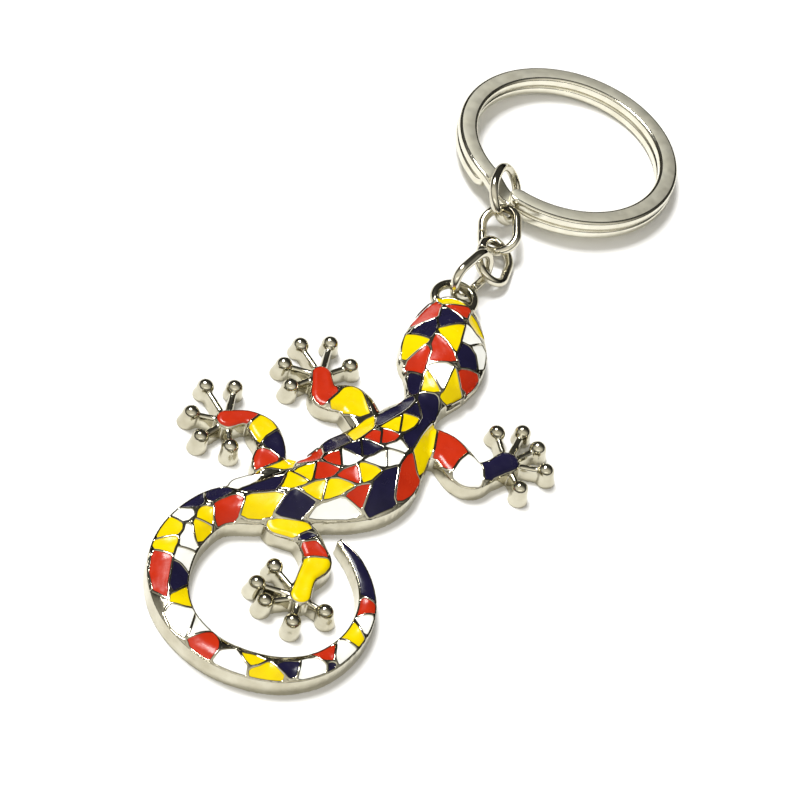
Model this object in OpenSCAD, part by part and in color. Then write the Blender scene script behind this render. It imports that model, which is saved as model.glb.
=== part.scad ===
// Gecko keychain: a domed metal casting with inlaid enamel, a chain of four links and a split ring.
// Millimetres. The flat back of the casting is z = 0, +Y runs from the tail to the split ring, and the
// origin is on the back, under the neck.

/* [Split ring] */
// Outside diameter of the split ring
ring_od = 30; // [29:0.5:32]
// Width of the ring's flat wire, measured along the radius
ring_wire_w = 2.5; // [2:0.1:2.6]
// Height of one of the two coils
ring_coil_h = 1.38; // [1.2:0.02:1.5]

/* [Chain] */
// Diameter of the round wire of the links
link_wire = 1.2; // [0.9:0.05:1.25]
// Outside length of a plain link
link_length = 8.2; // [8.2:0.1:8.5]
// Outside width of a plain link
link_width = 5.8; // [5.6:0.1:6]
// Outside length of the link that holds the split ring
ring_link_length = 8.6; // [8.2:0.1:9]
// Outside width of the link that holds the split ring
ring_link_width = 7.6; // [7.2:0.1:7.8]
// Gap between the two cut ends of a link's wire
link_seam = 0.08; // [0.04:0.01:0.2]

/* [Casting] */
// Height of the upright wall around the body and the tail
wall_h = 2.2; // [1.8:0.1:2.6]
// How far the wall leans out from its top to the flat back
wall_draft = 0.15; // [0:0.05:0.4]
// Height of the wall around the legs
leg_wall_h = 2.0; // [1.6:0.1:2.4]
// Height of the flat top of the legs
leg_top_h = 2.6; // [2.2:0.1:3]
// Depth of the enamel pockets
pocket_depth = 0.5; // [0.3:0.05:0.8]
// How far the enamel stays below the metal ridges at its edge
enamel_sink = 0.06; // [0.02:0.02:0.2]
// How much deeper the middle of each enamel cell lies than its edge
enamel_dish = 0.1; // [0:0.02:0.2]

/* [Toes] */
// Diameter of the ball at the end of a toe
toe_ball_d = 2.1; // [1.8:0.1:2.2]
// Height of the centre of the toe balls
toe_ball_z = 1.75; // [1.5:0.05:2]

/* [Eye] */
// Diameter of the wire of the cast eye in front of the nose
eye_wire = 1.24; // [1:0.02:1.3]
// Radius of the centre line of the eye
eye_r = 2.5; // [2.4:0.05:2.6]

/* [Hidden] */

METAL = [0.74, 0.72, 0.66];
ENAMEL = [["red", [0.84, 0.25, 0.14]], ["yellow", [0.98, 0.92, 0.05]],
    ["navy", [0.14, 0.13, 0.28]], ["white", [0.97, 0.97, 0.95]]];

// Spine of head, neck and trunk, from the nose: centre x, centre y, half width, height of the crest
HEAD_AND_TRUNK = [
    [0.1, 18.35, 1.5, 2.5], [0.15, 17.6, 2.3, 2.9], [0.25, 15.8, 3.3, 3.6], [0.35, 13, 4.45, 4.3],
    [0.4, 10.5, 5.2, 4.6], [0.5, 8.2, 5.4, 4.6], [0.6, 6, 5, 4.4], [0.6, 4, 4.05, 4],
    [0.3, 2, 3.1, 3.6], [-0.1, 0, 2.35, 3.3], [-0.5, -2, 2.5, 3.4], [-1.3, -4.4, 3.6, 3.8],
    [-1.9, -7.2, 4.5, 4.2], [-2.9, -10.2, 5.4, 4.5], [-4, -13, 6.2, 4.6], [-5.3, -15.3, 6.2, 4.6],
    [-7, -17.2, 5.6, 4.4], [-9.8, -19.3, 4.7, 4.1], [-12.5, -21.3, 4.1, 3.7], [-15.5, -23.3, 3.25, 3.4]
];
// The tail curls around this point
TAIL_C = [-11.1, -34.6];
// Tail: angle around the curl's centre, radius, half width, height of the crest
TAIL = [
    [135, 12.2, 2.65, 3.2], [158, 11.75, 2.65, 3.1], [180, 11.5, 2.6, 3.1], [203, 11.45, 2.3, 3],
    [225, 11.5, 2, 2.9], [248, 11.5, 1.9, 2.9], [270, 11.5, 1.9, 2.9], [293, 11.75, 1.8, 2.9],
    [315, 11.85, 1.55, 2.8], [338, 11.7, 1.3, 2.8], [360, 11.65, 1.15, 2.7], [380, 11.5, 0.95, 2.6],
    [400, 11.4, 0.75, 2.5], [417, 11.4, 0.35, 2.3]
];
// Legs, from the trunk to the foot: centre x, centre y, half width
FRONT_LEFT = [[-5.6, -6.6, 2.2], [-8.5, -3.4, 2.45], [-11.6, -4.2, 1.75], [-12.4, -2.4, 1.5],
    [-13, -0.7, 1.3]];
FRONT_RIGHT = [[1.2, -6.2, 2.6], [4.2, -6.4, 2.4], [7.4, -9, 2.4], [9.6, -7.7, 1.5], [11.5, -5.5, 1.6]];
HIND_LEFT = [[-12.6, -18.4, 2.4], [-15.3, -17.2, 2.15], [-15.9, -14.2, 1.75], [-17.5, -11.9, 1.85],
    [-19.6, -11, 1.15], [-21.9, -12.2, 1.45]];
// Shoulder between the root of the hind left leg and the tail
HIND_LEFT_ROOT = [[-17.3, -22, 2], [-12.6, -18.4, 2.4]];
HIND_RIGHT = [[-12.2, -25.3, 1.75], [-9.2, -25.5, 1.7], [-7.4, -27.4, 1.6], [-6.6, -29.2, 1.75],
    [-7.2, -31.6, 1.2], [-7.25, -34.5, 1.3]];
// Centres of the toe balls
FRONT_LEFT_TOES = [[-10, 2.2], [-13.2, 4.8], [-16.6, 3.1], [-17.7, -0.8], [-16.1, -3.9]];
FRONT_RIGHT_TOES = [[9.4, -1.2], [12.4, 0.1], [14.7, -1.7], [16.3, -4.8], [13.8, -8.8]];
HIND_LEFT_TOES = [[-22.4, -6.8], [-25.7, -8], [-26.2, -12.7], [-24.2, -15.9], [-20.5, -16]];
HIND_RIGHT_TOES = [[-11.1, -31.4], [-12.4, -34.5], [-10.9, -36.6], [-7.2, -38.3], [-4, -35.6]];

// The mosaic is laid out flat at this height, then thrown onto the dome along a slanted
// line: a point moves towards -Y by pattern_slant for each millimetre that the dome is higher.
pattern_h = 2.3;
pattern_slant = 0.93;

HEAD_RED = [
    [[-0.7, 16.8], [0.6, 17.25], [1.7, 17.5], [2, 16.8], [1.8, 15.8], [-0.2, 16.5]],
    [[-1.7, 16.3], [-2.3, 16.6], [-3.1, 15.3], [-4, 12.1], [-2.3, 13.9], [-1.7, 14.5]],
    [[-1, 11], [0.3, 10.3], [1.9, 8.2], [-0.9, 7]],
    [[-1.9, 8.7], [-1.3, 8.3], [-1.5, 4.6], [-3.2, 5.1], [-3.45, 5.7]],
    [[2.95, 6.4], [4, 6.9], [5, 6.7], [5.2, 5.8], [4.5, 4.1], [3.85, 4.2]]
];
HEAD_YELLOW = [
    [[-1.9, 17.35], [-1.3, 17.1], [0.1, 17.6], [1.2, 17.9], [0.6, 18.1], [-0.9, 18]],
    [[2.4, 16.4], [3.2, 15.2], [4.2, 13.6], [3.7, 13.7], [2.4, 15.5]],
    [[-0.9, 12.3], [1.8, 14.1], [1.7, 9.9]],
    [[-4.5, 9.7], [-3.5, 10.1], [-1.9, 10], [-3.75, 5.9], [-4.1, 6.1], [-4.6, 8.2]],
    [[-0.8, 4.8], [-0.8, 1.7], [1, 2.5]],
    [[2.3, 6.7], [1.8, 1.6], [2.4, 1.3], [3.7, 3]]
];
HEAD_NAVY = [
    [[-1.3, 16], [-0.5, 16.05], [0.6, 15.6], [1.4, 14.8], [-0.8, 13.1], [-1.2, 14.4]],
    [[-1.9, 13.6], [-1.5, 12], [-1.8, 10.6], [-4, 10.4], [-3, 12.4]],
    [[2.5, 10.9], [3, 10.8], [4.1, 9.8], [4.8, 8.2], [4.7, 7.7], [3, 7.6], [2.3, 8.7]],
    [[-2.6, 3.8], [-1.8, 3.9], [-1.3, 3], [-1.2, 1.1], [-1.7, 0.6], [-2.3, 2.5]]
];
HEAD_WHITE = [
    [[2.3, 14.3], [3.2, 13.6], [4.4, 12.4], [3.3, 11.4], [2.4, 11.6]],
    [[3.7, 11.1], [4.7, 11.7], [5.3, 10.5], [5.5, 8.3], [5.2, 7.8], [4.55, 10]],
    [[-0.8, 5.9], [1.9, 6.9], [1.5, 3]]
];
TRUNK_RED = [
    [[-4.1, -6.9], [-3.9, -8.6], [-5.3, -8.3], [-4.7, -7.1]],
    [[-3.8, -6.5], [-2.1, -6.6], [-2.2, -7.5], [-3.5, -8.4]],
    [[0.3, -9], [1, -11], [1.8, -12.6], [1.4, -14.5], [0.2, -16.3], [-0.2, -14], [-0.5, -10.8]],
    [[-3.5, -15.6], [-3.55, -19.2], [-5.5, -18.1], [-4.7, -16.4]],
    [[-5.7, -13.4], [-4.9, -15.5], [-7.1, -15.3]],
    [[-8.2, -12.1], [-7.4, -13.8], [-9.7, -13.5]],
    [[-9.9, -14.5], [-7.7, -14.6], [-8.1, -16], [-9.6, -16.7]],
    [[-10.3, -12.4], [-9.9, -13.7], [-12.1, -15.2], [-12.2, -14.8]]
];
TRUNK_YELLOW = [
    [[-2.3, -3.5], [-2.1, -5.9], [-3.9, -5.9]],
    [[-2, -3.1], [-0.3, -3.1], [-0.5, -4.5], [-1.7, -5.8]],
    [[1.75, -3.4], [2, -3.7], [2.3, -7], [1.75, -11.2], [0.45, -8], [0.95, -5.5]],
    [[-5.5, -5.2], [-5.2, -6.3], [-6.8, -9.1], [-7.5, -8.7]],
    [[-5.1, -12.7], [-2.7, -12.8], [-4.2, -15]],
    [[-10.5, -15], [-10.3, -17.35], [-12.2, -16.85]],
    [[-12.8, -17.3], [-10.6, -17.8], [-10.9, -18.4], [-13.1, -19.6]],
    [[-8.7, -17.1], [-8.4, -19.8], [-10.8, -18.9]],
    [[-8, -16.3], [-5.3, -16.3], [-8, -19.5]],
    [[-12.7, -20.8], [-13.35, -24.6], [-16.5, -25.6], [-16.6, -22.8]],
    [[-13.1, -15.4], [-13.1, -16.5], [-15.2, -17.8], [-16.7, -19.1], [-14.2, -16.5]]
];
TRUNK_NAVY = [
    [[-0.8, 0.8], [1.1, 1], [1.6, -1.6], [1.2, -2.7], [0.35, -2.6]],
    [[0.35, -2.6], [1.2, -2.7], [0.85, -3.7], [0.5, -5.2], [-0.45, -5.2], [0.2, -3.9]],
    [[-0.45, -5.2], [0.5, -5.2], [0.05, -7.5], [-0.3, -7.8], [-0.8, -7.2], [-1.1, -6.3]],
    [[-1.7, 0], [-2.2, -0.8], [-2.8, -2.1], [-2.3, -2.4], [-1.9, -1.7]],
    [[-2.8, -2.1], [-4.8, -4.6], [-4.7, -5.9], [-3.3, -3.8], [-2.3, -2.4]],
    [[-1, -1.1], [-0.2, -2.6], [-1.8, -2.6]],
    [[-6.2, -9.5], [-5.7, -11.3], [-7.4, -10.9]],
    [[-5.7, -9.1], [-3.6, -9.3], [-4.3, -10.5], [-5, -10.9]],
    [[-0.95, -11.5], [-0.55, -16.2], [-0.1, -17], [-2.5, -19.7], [-3.15, -19.3], [-3, -16], [-2.3, -12.9]],
    [[-8.2, -9.2], [-9.8, -11], [-10, -11.8], [-9.5, -12.3], [-7.6, -9.9]],
    [[-13.4, -18.1], [-13.4, -19.2], [-14, -20.2], [-17.1, -21.8]],
    [[-11.5, -19.9], [-9.3, -20.6], [-10.2, -23.3], [-12.85, -23.8], [-12.3, -21]]
];
TRUNK_WHITE = [
    [[-1.6, -7.4], [-0.6, -8.2], [-0.7, -8.8], [-2.7, -8.7]],
    [[-0.8, -9.3], [-2.5, -9.4], [-2, -11.7], [-0.9, -10.9]],
    [[-2.9, -9.7], [-2.35, -11.9], [-4.4, -11.7]],
    [[-7.5, -11.6], [-5.5, -12], [-6, -12.8], [-7.1, -13.6]],
    [[-5.7, -18.8], [-3.7, -20.1], [-5, -21], [-8.5, -22.4], [-8, -20.7]]
];
TAIL_RED = [
    [[-19.2, -24.3], [-17.6, -23.3], [-17, -23.2], [-17, -26], [-18.6, -28], [-19.2, -27.2], [-19.7, -25.3]],
    [[-24.4, -34.8], [-22.6, -34.7], [-22.4, -36], [-22, -39.8], [-22.9, -39.6], [-23.9, -37.5]],
    [[-15.3, -43.5], [-14.7, -44.3], [-14.5, -45.2], [-14.8, -46.7], [-16.2, -46.4], [-17.4, -45.2]],
    [[-3.7, -41.9], [-2.6, -40.8], [-1.9, -40], [-1.8, -41.8], [-2.6, -42]],
    [[-0.4, -33.1], [-0.1, -32.5], [0.8, -32.6], [1.3, -33.7], [-0.3, -34.6]]
];
TAIL_YELLOW = [
    [[-24.3, -29.4], [-22.9, -29.6], [-22.5, -30.3], [-22.8, -31.2], [-24.7, -32.5], [-24.8, -30.5]],
    [[-22.9, -31.7], [-22.6, -31.9], [-22.6, -33.9], [-24.5, -34.1], [-24.8, -33.2]],
    [[-20, -26], [-20.9, -26.5], [-21.2, -27.9], [-19.5, -28.3], [-19.8, -26.8]],
    [[-21.3, -28.4], [-19.4, -28.8], [-19.5, -30], [-20.3, -31.2], [-20.9, -29.9]],
    [[-19.7, -38.6], [-19.1, -39.3], [-18.3, -40.5], [-19.5, -40.7], [-20.8, -40.7], [-20.7, -40]],
    [[-11.2, -44.9], [-8.9, -44.9], [-9.4, -45.5], [-10.1, -45.8], [-10.8, -45.5]],
    [[-8.4, -45.1], [-7.5, -45.2], [-6.4, -46.2], [-6.5, -46.8], [-8, -47.6], [-9.7, -47.6],
        [-9.9, -47], [-9.2, -46]],
    [[-1.1, -38.4], [-0.9, -37.1], [-0.5, -36.2], [0.3, -36.7], [1, -38.1], [0.8, -38.8], [-0.1, -38.6]]
];
TAIL_NAVY = [
    [[-18.9, -22.8], [-19.2, -22.7], [-21.3, -23.9], [-21, -24.7], [-20.2, -24.7], [-19.4, -23.9]],
    [[-21.7, -24.5], [-21.4, -25.3], [-21.6, -26], [-22.7, -26.8], [-23.4, -27.1], [-22.9, -26],
        [-22.3, -25]],
    [[-21.9, -35.3], [-21.4, -35.4], [-20.4, -36.5], [-20, -37.4], [-20.4, -38.1], [-21, -38.8],
        [-21.4, -38.4]],
    [[-7.4, -44.9], [-5.9, -44.3], [-5.2, -43.9], [-5.1, -45.6], [-5.7, -45.8], [-6.6, -45.3]],
    [[-4, -25.3], [-3, -26], [-2.3, -26.6], [-1.2, -28.1], [-2, -28.6], [-3.2, -27]],
    [[-2, -28.6], [-1.2, -28.1], [-0.2, -29.8], [0.7, -31.8], [-0.2, -31.4], [-0.6, -31.3]],
    [[-1.7, -42.8], [-1.2, -42.6], [-1.6, -43.9]]
];
TAIL_WHITE = [
    [[-23.5, -27.8], [-22.3, -27.4], [-21.9, -27.8], [-22.7, -29], [-24.1, -28.8]],
    [[-22, -29.6], [-21.6, -29.6], [-21, -31], [-20.4, -32.1], [-20.3, -32.7], [-21.9, -32.6],
        [-22.2, -31.5]],
    [[-22.1, -33.1], [-20.3, -33.2], [-20.1, -34.4], [-20.2, -35.6], [-21, -35], [-22, -34.6]],
    [[-20.6, -41.3], [-18.9, -41.2], [-18.1, -41.1], [-18, -43.5], [-18.2, -44.6], [-19.6, -43.7],
        [-20.6, -42.3]],
    [[-17.5, -41.8], [-16, -43.1], [-17.5, -44.3]],
    [[-12.3, -44.9], [-11.5, -45.4], [-10.7, -46.3], [-10.5, -47.6], [-13.3, -47.6], [-14, -46.9],
        [-13.6, -45.7]],
    [[-4.6, -43.4], [-3.3, -42.7], [-2.2, -43.1], [-2, -43.7], [-3, -45], [-4.5, -45.7]],
    [[-1.6, -39.3], [-0.7, -39], [0.4, -39.8], [0.3, -40.5], [-0.4, -41.9], [-0.7, -42.1], [-1.2, -41.1]],
    [[-0.2, -35.4], [0.2, -34.9], [1.2, -34.5], [1.5, -35.2], [1.2, -36.9], [0.9, -36.9], [0.3, -36.2]]
];
FRONT_LEFT_RED = [
    [[-13, 0.3], [-14, -0.7], [-13.6, -2], [-13.1, -4], [-12, -5.5], [-11.3, -4], [-10.6, -2.7],
        [-11.5, -1.9],
        [-11.9, -0.6], [-12.3, 0.1]]
];
FRONT_LEFT_YELLOW = [
    [[-8.7, -1.4], [-8, -1.8], [-6.5, -4.5], [-7.2, -5.2], [-10.3, -5.3], [-10.7, -4.5], [-10, -2.6]]
];
FRONT_RIGHT_RED = [
    [[2.75, -4], [3.8, -4.2], [5.3, -5], [6.3, -5.9], [5.7, -7.2], [5.2, -9.1], [4, -8.7], [3.1, -8.1]]
];
FRONT_RIGHT_WHITE = [
    [[6.9, -6.4], [8, -6.9], [8.8, -7.9], [9.05, -9.2], [8.8, -10.3], [7.9, -11.1], [6.4, -10.7],
        [5.8, -9.6],
        [6.2, -7.7]]
];
FRONT_RIGHT_NAVY = [
    [[8.8, -6.9], [9.8, -6.5], [10.9, -7.5], [10.5, -8.1], [9.6, -9.1], [9.3, -7.9]],
    [[9.8, -6.5], [10.4, -5.2], [10.7, -4.5], [11.5, -4.2], [12.3, -4.4], [12.7, -5.1], [12.6, -5.9],
        [11.3, -6.8], [10.9, -7.5]]
];
HIND_LEFT_RED = [
    [[-18.9, -10.2], [-20, -10.4], [-22.2, -11.3], [-23, -11.9], [-22.9, -12.9], [-22, -13.3],
        [-20.9, -12.6],
        [-19.9, -11.6], [-19.2, -10.9]],
    [[-17.1, -15.7], [-16, -15.2], [-14.9, -15.6], [-14.6, -16.2], [-16, -17.8], [-16.8, -18.6],
        [-17.1, -17]]
];
HIND_LEFT_YELLOW = [
    [[-18.2, -10.3], [-17.2, -10.5], [-16.4, -11.3], [-17.1, -13], [-17.4, -13.8], [-18, -13.5],
        [-18.8, -12.4],
        [-18.7, -11.2]]
];
HIND_LEFT_NAVY = [
    [[-15.8, -12.1], [-14.9, -13.2], [-13.9, -15.2], [-14.4, -15.3], [-15.3, -14.7], [-16.7, -14],
        [-16.6, -13.1]]
];
HIND_LEFT_WHITE = [
    [[-18.9, -22.1], [-18.9, -21], [-18.4, -20.4], [-16.4, -19.6], [-17.2, -20.9], [-18.1, -21.9]]
];
HIND_RIGHT_RED = [
    [[-8.6, -27], [-7.5, -26.6], [-6.5, -27.2], [-5.7, -28], [-7, -28.2], [-8, -28.8], [-8.4, -28.2]]
];
HIND_RIGHT_YELLOW = [
    [[-13.3, -25.3], [-12, -24.8], [-9.1, -24.2], [-8.7, -24.6], [-9.8, -26.2], [-10.8, -26.5],
        [-12.6, -26.4],
        [-13.1, -26]],
    [[-8.1, -29.4], [-7.2, -28.7], [-5.5, -28.4], [-5.1, -29.3], [-5.7, -30.7], [-6.3, -32.4], [-6.3, -34.4],
        [-6.6, -35.1], [-7.3, -35.4], [-8, -34.9], [-8.1, -33.5]]
];
HIND_RIGHT_NAVY = [
    [[-9.2, -25.9], [-8.6, -25.4], [-8.1, -25.5], [-8.8, -26.3], [-9.4, -26.5]]
];

// Two steps of a Catmull-Rom curve between each pair of stations
SMOOTH_STEPS = 2;
function spline(a, b, c, d, t) =
    0.5 * (2 * b + (c - a) * t + (2 * a - 5 * b + 4 * c - d) * t * t + (3 * b - a - 3 * c + d) * t * t * t);
function smoothed(list) = let (last = len(list) - 1) [
    for (i = [0:last - 1], k = [0:SMOOTH_STEPS - 1])
        spline(list[max(i - 1, 0)], list[i], list[i + 1], list[min(i + 2, last)], k / SMOOTH_STEPS),
    list[last]
];
function tail_station(s) = [TAIL_C.x + s[1] * cos(s[0]), TAIL_C.y + s[1] * sin(s[0]), s[2], s[3]];
SPINE = smoothed(concat(HEAD_AND_TRUNK, [for (s = TAIL) tail_station(s)]));
// Stretches of the spine under the three body mosaics
function stretch(from, to) = [for (i = [from * SMOOTH_STEPS:to * SMOOTH_STEPS]) SPINE[i]];
HEAD_SPINE = stretch(0, 10);
TRUNK_SPINE = stretch(8, 21);
TAIL_SPINE = stretch(17, 33);

// Distance from a point to the line between two stations, as a share of the half width there
function share(p, a, b) = let (
    along = [b.x - a.x, b.y - a.y],
    u = max(0, min(1, ([p.x - a.x, p.y - a.y] * along) / (along * along))),
    s = a + (b - a) * u
) [min(1, norm([p.x - s.x, p.y - s.y]) / s[2]), s];
// Height of the dome over the spine
function dome_height(spine, p) = max([
    for (i = [0:len(spine) - 2]) let (r = share(p, spine[i], spine[i + 1]))
        wall_h + (r[1][3] - wall_h) * (1 - r[0] * r[0])
]);
// A leg is flat on top, and slopes down to its wall over the outer part of its half width
LEG_SLOPE = 0.35;
function leg_height(leg, p) = len(leg) == 0 ? 0 : max([
    for (i = [0:len(leg) - 2]) let (r = share(p, leg[i], leg[i + 1]))
        leg_wall_h + (leg_top_h - leg_wall_h) * min(1, (1 - r[0]) / LEG_SLOPE)
]);
function top_height(spine, leg, p) = max(dome_height(spine, p), leg_height(leg, p));
// Where a point of the flat pattern lands on the surface, found by halving the interval
function thrown(spine, leg, p, low, high, steps) = let (
    y = (low + high) / 2,
    z = top_height(spine, leg, [p.x, y])
)
    steps == 0 ? [p.x, y, z]
    : y + pattern_slant * (z - pattern_h) > p.y ? thrown(spine, leg, p, low, y, steps - 1)
    : thrown(spine, leg, p, y, high, steps - 1);
THROW_REACH = 2.6;
THROW_STEPS = 9;
function landed(spine, leg, p) =
    thrown(spine, leg, p, p.y - THROW_REACH, p.y + THROW_REACH / 2, THROW_STEPS);

function turned_area(p) = [
    for (i = [0:len(p) - 1]) let (a = p[i], b = p[(i + 1) % len(p)]) a.x * b.y - b.x * a.y
];
function total(list) = list * [for (v = list) 1];
function clockwise(p) = total(turned_area(p)) < 0 ? p : [for (i = [len(p) - 1:-1:0]) p[i]];
function middle(p) = [for (axis = [0:2]) total([for (v = p) v[axis]]) / len(p)];

// One cell of the mosaic: upright sides, a fan of facets on top and below
module cell(rim, above, below, dish) {
    n = len(rim);
    centre = middle(rim);
    points = concat(
        [for (v = rim) v + [0, 0, above]], [for (v = rim) v - [0, 0, below]],
        [centre + [0, 0, above - dish], centre - [0, 0, below]]
    );
    faces = concat(
        [for (i = [0:n - 1]) [i, (i + 1) % n, 2 * n]],
        [for (i = [0:n - 1]) [n + (i + 1) % n, n + i, 2 * n + 1]],
        [for (i = [0:n - 1]) [i, n + i, (i + 1) % n]],
        [for (i = [0:n - 1]) [(i + 1) % n, n + i, n + (i + 1) % n]]
    );
    polyhedron(points = points, faces = faces);
}

module enamel(cells, hue, spine, leg = []) {
    colour = ENAMEL[search([hue], ENAMEL)[0]][1];
    color(colour) for (c = cells)
        cell([for (p = clockwise(c)) landed(spine, leg, p)], -enamel_sink, pocket_depth, enamel_dish);
}

module pockets(groups, spine, leg = []) {
    clear_above = 1.5;
    for (cells = groups, c = cells)
        cell([for (p = clockwise(c)) landed(spine, leg, p)], clear_above, pocket_depth, 0);
}

// Domed body, swept along the spine
module body_sweep() {
    across = 6;
    ring_n = across + 3;
    last = len(SPINE) - 1;
    points = [for (i = [0:last])
        let (
            s = SPINE[i],
            ahead = SPINE[min(i + 1, last)] - SPINE[max(i - 1, 0)],
            side = [-ahead.y, ahead.x] / norm([ahead.x, ahead.y])
        )
        each concat(
            [[s.x - side.x * (s[2] + wall_draft), s.y - side.y * (s[2] + wall_draft), 0]],
            [for (k = [0:across]) let (t = 2 * k / across - 1)
                [s.x + side.x * s[2] * t, s.y + side.y * s[2] * t, wall_h + (s[3] - wall_h) * (1 - t * t)]],
            [[s.x + side.x * (s[2] + wall_draft), s.y + side.y * (s[2] + wall_draft), 0]]
        )
    ];
    sides = [for (i = [0:last - 1], k = [0:ring_n - 1])
        let (a = i * ring_n + k, b = i * ring_n + (k + 1) % ring_n)
        each [[a, b, a + ring_n], [b, b + ring_n, a + ring_n]]
    ];
    caps = concat(
        [for (k = [1:ring_n - 2]) [0, k + 1, k]],
        [for (k = [1:ring_n - 2]) [last * ring_n, last * ring_n + k, last * ring_n + k + 1]]
    );
    polyhedron(points = points, faces = concat(sides, caps));
}

module leg(stations) {
    for (i = [0:len(stations) - 2]) hull()
    for (s = [stations[i], stations[i + 1]]) translate([s.x, s.y, 0]) {
        cylinder(r1 = s[2] + wall_draft, r2 = s[2], h = leg_wall_h, $fn = 24);
        cylinder(r = s[2] * (1 - LEG_SLOPE), h = leg_top_h, $fn = 24);
    }
}

// A ball on a short column that leans out from the foot, tied to the foot by a drafted rib
module toe(ball, foot) {
    column_base_r = 1.25;
    column_lean = 0.3;
    rib_top_r = 0.42;
    rib_base_r = 0.6;
    outward = (ball - [foot.x, foot.y]) / norm(ball - [foot.x, foot.y]);
    hull() translate([ball.x, ball.y, 0]) {
        translate([0, 0, toe_ball_z]) sphere(d = toe_ball_d, $fn = 14);
        translate(outward * column_lean) cylinder(r = column_base_r, h = 0.2, $fn = 14);
    }
    hull() for (p = [ball, foot]) translate([p.x, p.y, 0])
        cylinder(r1 = rib_base_r, r2 = rib_top_r, h = leg_wall_h, $fn = 8);
}

// Centre of the eye
EYE_C = [-0.25, 18.35, 2.1];
module eye() translate(EYE_C) rotate_extrude($fn = 40) translate([eye_r, 0]) circle(d = eye_wire, $fn = 12);

module gecko_casting() color(METAL) difference() {
    union() {
        body_sweep();
        for (pair = [[FRONT_LEFT, FRONT_LEFT_TOES], [FRONT_RIGHT, FRONT_RIGHT_TOES],
            [HIND_LEFT, HIND_LEFT_TOES], [HIND_RIGHT, HIND_RIGHT_TOES]]) {
            leg(pair[0]);
            for (ball = pair[1]) toe(ball, pair[0][len(pair[0]) - 1]);
        }
        leg(HIND_LEFT_ROOT);
        eye();
    }
    pockets([HEAD_RED, HEAD_YELLOW, HEAD_NAVY, HEAD_WHITE], HEAD_SPINE);
    pockets([TRUNK_RED, TRUNK_YELLOW, TRUNK_NAVY, TRUNK_WHITE], TRUNK_SPINE);
    pockets([TAIL_RED, TAIL_YELLOW, TAIL_NAVY, TAIL_WHITE], TAIL_SPINE);
    pockets([FRONT_LEFT_RED, FRONT_LEFT_YELLOW], TRUNK_SPINE, FRONT_LEFT);
    pockets([FRONT_RIGHT_RED, FRONT_RIGHT_WHITE, FRONT_RIGHT_NAVY], TRUNK_SPINE, FRONT_RIGHT);
    pockets([HIND_LEFT_RED, HIND_LEFT_YELLOW, HIND_LEFT_NAVY], TRUNK_SPINE, HIND_LEFT);
    pockets([HIND_LEFT_WHITE], TRUNK_SPINE, HIND_LEFT_ROOT);
    pockets([HIND_RIGHT_RED, HIND_RIGHT_YELLOW, HIND_RIGHT_NAVY], TRUNK_SPINE, HIND_RIGHT);
}

module head_enamel_red() enamel(HEAD_RED, "red", HEAD_SPINE);
module head_enamel_yellow() enamel(HEAD_YELLOW, "yellow", HEAD_SPINE);
module head_enamel_navy() enamel(HEAD_NAVY, "navy", HEAD_SPINE);
module head_enamel_white() enamel(HEAD_WHITE, "white", HEAD_SPINE);
module trunk_enamel_red() enamel(TRUNK_RED, "red", TRUNK_SPINE);
module trunk_enamel_yellow() enamel(TRUNK_YELLOW, "yellow", TRUNK_SPINE);
module trunk_enamel_navy() enamel(TRUNK_NAVY, "navy", TRUNK_SPINE);
module trunk_enamel_white() enamel(TRUNK_WHITE, "white", TRUNK_SPINE);
module tail_enamel_red() enamel(TAIL_RED, "red", TAIL_SPINE);
module tail_enamel_yellow() enamel(TAIL_YELLOW, "yellow", TAIL_SPINE);
module tail_enamel_navy() enamel(TAIL_NAVY, "navy", TAIL_SPINE);
module tail_enamel_white() enamel(TAIL_WHITE, "white", TAIL_SPINE);
module front_left_leg_enamel_red() enamel(FRONT_LEFT_RED, "red", TRUNK_SPINE, FRONT_LEFT);
module front_left_leg_enamel_yellow() enamel(FRONT_LEFT_YELLOW, "yellow", TRUNK_SPINE, FRONT_LEFT);
module front_right_leg_enamel_red() enamel(FRONT_RIGHT_RED, "red", TRUNK_SPINE, FRONT_RIGHT);
module front_right_leg_enamel_white() enamel(FRONT_RIGHT_WHITE, "white", TRUNK_SPINE, FRONT_RIGHT);
module front_right_leg_enamel_navy() enamel(FRONT_RIGHT_NAVY, "navy", TRUNK_SPINE, FRONT_RIGHT);
module hind_left_leg_enamel_red() enamel(HIND_LEFT_RED, "red", TRUNK_SPINE, HIND_LEFT);
module hind_left_leg_enamel_yellow() enamel(HIND_LEFT_YELLOW, "yellow", TRUNK_SPINE, HIND_LEFT);
module hind_left_leg_enamel_navy() enamel(HIND_LEFT_NAVY, "navy", TRUNK_SPINE, HIND_LEFT);
module hind_left_leg_enamel_white() enamel(HIND_LEFT_WHITE, "white", TRUNK_SPINE, HIND_LEFT_ROOT);
module hind_right_leg_enamel_red() enamel(HIND_RIGHT_RED, "red", TRUNK_SPINE, HIND_RIGHT);
module hind_right_leg_enamel_yellow() enamel(HIND_RIGHT_YELLOW, "yellow", TRUNK_SPINE, HIND_RIGHT);
module hind_right_leg_enamel_navy() enamel(HIND_RIGHT_NAVY, "navy", TRUNK_SPINE, HIND_RIGHT);

// Place of each link: centre, then the turns about X, Y and Z. Link 1 hangs in the casting's eye and
// link 4 holds the split ring. The long sides of a link run along its own X.
LINK_1_AT = [[1.01, 22.39, 2.98], [-105.2, -6.7, 63.8]];
LINK_2_AT = [[3.18, 27.06, 1.94], [30.2, 6.2, 86.3]];
LINK_3_AT = [[2.74, 32.55, 2.24], [-27.7, -7.1, 102.9]];
LINK_4_AT = [[2.18, 38.26, 3.28], [-123.5, 0.8, 84.6]];

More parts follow.
